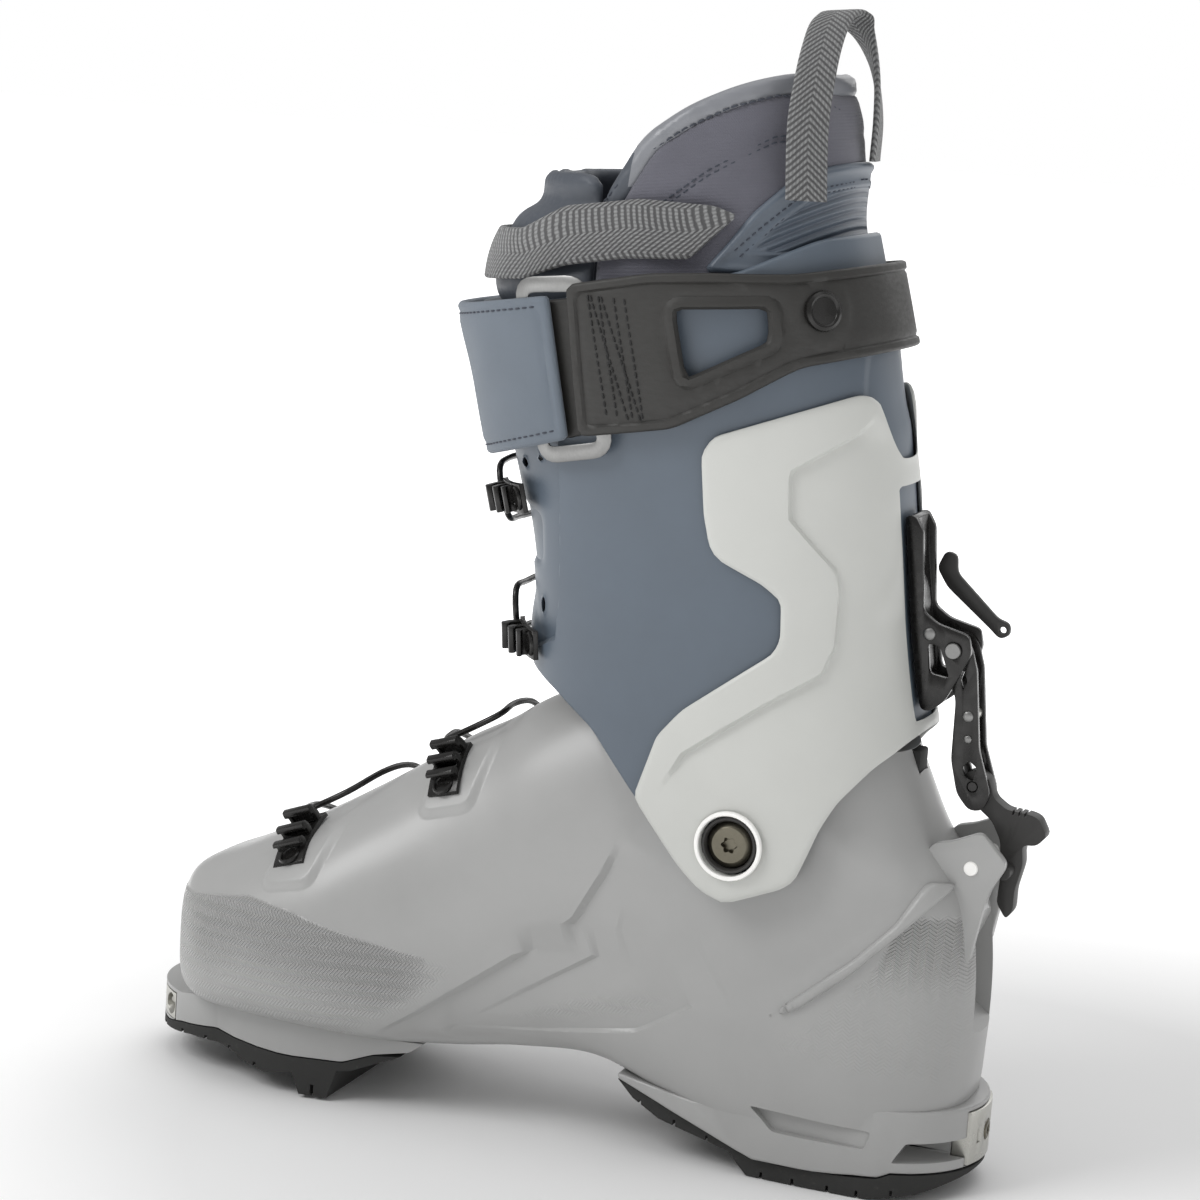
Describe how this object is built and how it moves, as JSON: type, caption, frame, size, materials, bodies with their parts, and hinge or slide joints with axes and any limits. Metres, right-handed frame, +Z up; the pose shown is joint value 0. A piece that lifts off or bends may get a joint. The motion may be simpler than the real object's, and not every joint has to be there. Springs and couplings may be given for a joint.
{
  "type": "alpine touring ski boot",
  "caption": "Right ski-touring boot with hinged cuff, walk lock, buckles, power strap, padded liner and rubber sole for ski bindings.",
  "frame": {"origin": "centre of the flat heel tread, on the ground plane", "axes": "+X towards the heel's rear, -X towards the toe, +Y to the outer (lateral) side of a right boot, +Z up"},
  "size_m": [0.3138, 0.1326, 0.3821],
  "materials": {
    "shell": "light warm-grey satin plastic",
    "backbone": "pale grey satin plastic",
    "cuff": "slate-blue satin plastic",
    "rubber": "black sole rubber",
    "black_alloy": "black anodised look, satin",
    "steel": "satin",
    "bronze": "dark bronze tint",
    "black_plastic": "black, fine grain",
    "white_plastic": "white, low gloss",
    "sleeve_fabric": "slate-blue coated fabric",
    "liner_fabric": "dark grey padded knit",
    "foam": "grey felt over foam",
    "overlay": "slate-blue soft moulded sheet",
    "webbing": "grey herringbone webbing",
    "board": "dark grey"
  },
  "bodies": {
    "shell": {"lower_shell": "shell", "sole_front": "shell", "tread_front": "rubber", "tread_heel": "rubber", "toe_insert": "steel", "heel_insert": "steel", "heel_insert_screw": "bronze", "boot_board": "board", "footbed": "foam", "liner_foot": "liner_fabric", "lock_pin_medial": "white_plastic", "lock_pin_lateral": "white_plastic", "spine_bumper": "rubber", "toe_ladder": "black_alloy", "instep_ladder": "black_alloy", "toe_base": "black_alloy", "instep_base": "black_alloy", "toe_pin": "steel", "instep_pin": "steel", "pivot_bushing_medial": "black_plastic", "pivot_bushing_lateral": "black_plastic", "pivot_bolt_medial": "bronze", "pivot_bolt_lateral": "bronze"},
    "cuff_body": {"cuff": "cuff", "backbone": "backbone", "pivot_ring_medial": "white_plastic", "pivot_ring_lateral": "white_plastic", "lower_ladder": "black_alloy", "upper_ladder": "black_alloy", "lower_base": "black_alloy", "upper_base": "black_alloy", "lower_pin": "steel", "upper_pin": "steel", "lock_bracket": "black_alloy", "link_pin": "steel", "release_arm": "black_plastic", "liner_upper": "liner_fabric", "liner_tongue": "liner_fabric", "liner_collar": "overlay", "pull_loop": "webbing", "tongue_webbing": "webbing", "power_strap": "black_plastic", "strap_sleeve": "sleeve_fabric", "strap_ring": "steel", "strap_button_medial": "black_alloy", "strap_button_lateral": "black_alloy"},
    "lock_link": {"link_medial": "black_alloy", "link_lateral": "black_alloy", "link_spacer": "steel"},
    "latch": {"latch_lever": "black_plastic"},
    "toe_lever_body": {"toe_lever": "black_alloy"},
    "toe_bail_body": {"toe_bail": "black_alloy"},
    "instep_lever_body": {"instep_lever": "black_alloy"},
    "instep_bail_body": {"instep_bail": "black_alloy"},
    "lower_lever_body": {"lower_lever": "black_alloy"},
    "lower_bail_body": {"lower_bail": "black_alloy"},
    "upper_lever_body": {"upper_lever": "black_alloy"},
    "upper_bail_body": {"upper_bail": "black_alloy"}
  },
  "joints": [
    {"name": "cuff_pivot", "type": "hinge", "parent": "shell", "child": "cuff_body", "pos_m": [-0.03, 0, 0.1148], "axis": [0, -1, 0], "range_deg": [-18, 15]},
    {"name": "lock_link_swing", "type": "hinge", "parent": "cuff_body", "child": "lock_link", "pos_m": [0.028, 0, 0.18], "axis": [0, -1, 0], "range_deg": [0, 35]},
    {"name": "latch_release", "type": "hinge", "parent": "lock_link", "child": "latch", "pos_m": [0.0375, 0, 0.1355], "axis": [0, -1, 0], "range_deg": [0, 60]},
    {"name": "toe_lever_hinge", "type": "hinge", "parent": "shell", "child": "toe_lever_body", "pos_m": [-0.18772, 0.0528, 0.06777], "axis": [0.9696, 0.0475, 0.2402], "range_deg": [0, 110]},
    {"name": "toe_bail_hinge", "type": "hinge", "parent": "toe_lever_body", "child": "toe_bail_body", "pos_m": [-0.18585, 0.05697, 0.05939], "axis": [0.9696, 0.0475, 0.2402], "range_deg": [-132, 0]},
    {"name": "instep_lever_hinge", "type": "hinge", "parent": "shell", "child": "instep_lever_body", "pos_m": [-0.13012, 0.04694, 0.08457], "axis": [0.8781, -0.0706, 0.4732], "range_deg": [0, 110]},
    {"name": "instep_bail_hinge", "type": "hinge", "parent": "instep_lever_body", "child": "instep_bail_body", "pos_m": [-0.1256, 0.04954, 0.07657], "axis": [0.8781, -0.0706, 0.4732], "range_deg": [-132, 0]},
    {"name": "lower_lever_hinge", "type": "hinge", "parent": "cuff_body", "child": "lower_lever_body", "pos_m": [-0.07784, 0.05338, 0.17401], "axis": [-0.137, 0.0271, 0.9902], "range_deg": [0, 110]},
    {"name": "lower_bail_hinge", "type": "hinge", "parent": "lower_lever_body", "child": "lower_bail_body", "pos_m": [-0.06876, 0.05607, 0.1752], "axis": [-0.137, 0.0271, 0.9902], "range_deg": [-132, 0]},
    {"name": "upper_lever_hinge", "type": "hinge", "parent": "cuff_body", "child": "upper_lever_body", "pos_m": [-0.08411, 0.0545, 0.21469], "axis": [-0.2225, 0.0514, 0.9736], "range_deg": [0, 110]},
    {"name": "upper_bail_hinge", "type": "hinge", "parent": "upper_lever_body", "child": "upper_bail_body", "pos_m": [-0.07519, 0.05735, 0.21658], "axis": [-0.2225, 0.0514, 0.9736], "range_deg": [-132, 0]}
  ],
  "couplings": [
    {"joint": "toe_bail_hinge", "follows": "toe_lever_hinge", "ratio": -1.2},
    {"joint": "instep_bail_hinge", "follows": "instep_lever_hinge", "ratio": -1.2},
    {"joint": "lower_bail_hinge", "follows": "lower_lever_hinge", "ratio": -1.2},
    {"joint": "upper_bail_hinge", "follows": "upper_lever_hinge", "ratio": -1.2}
  ]
}
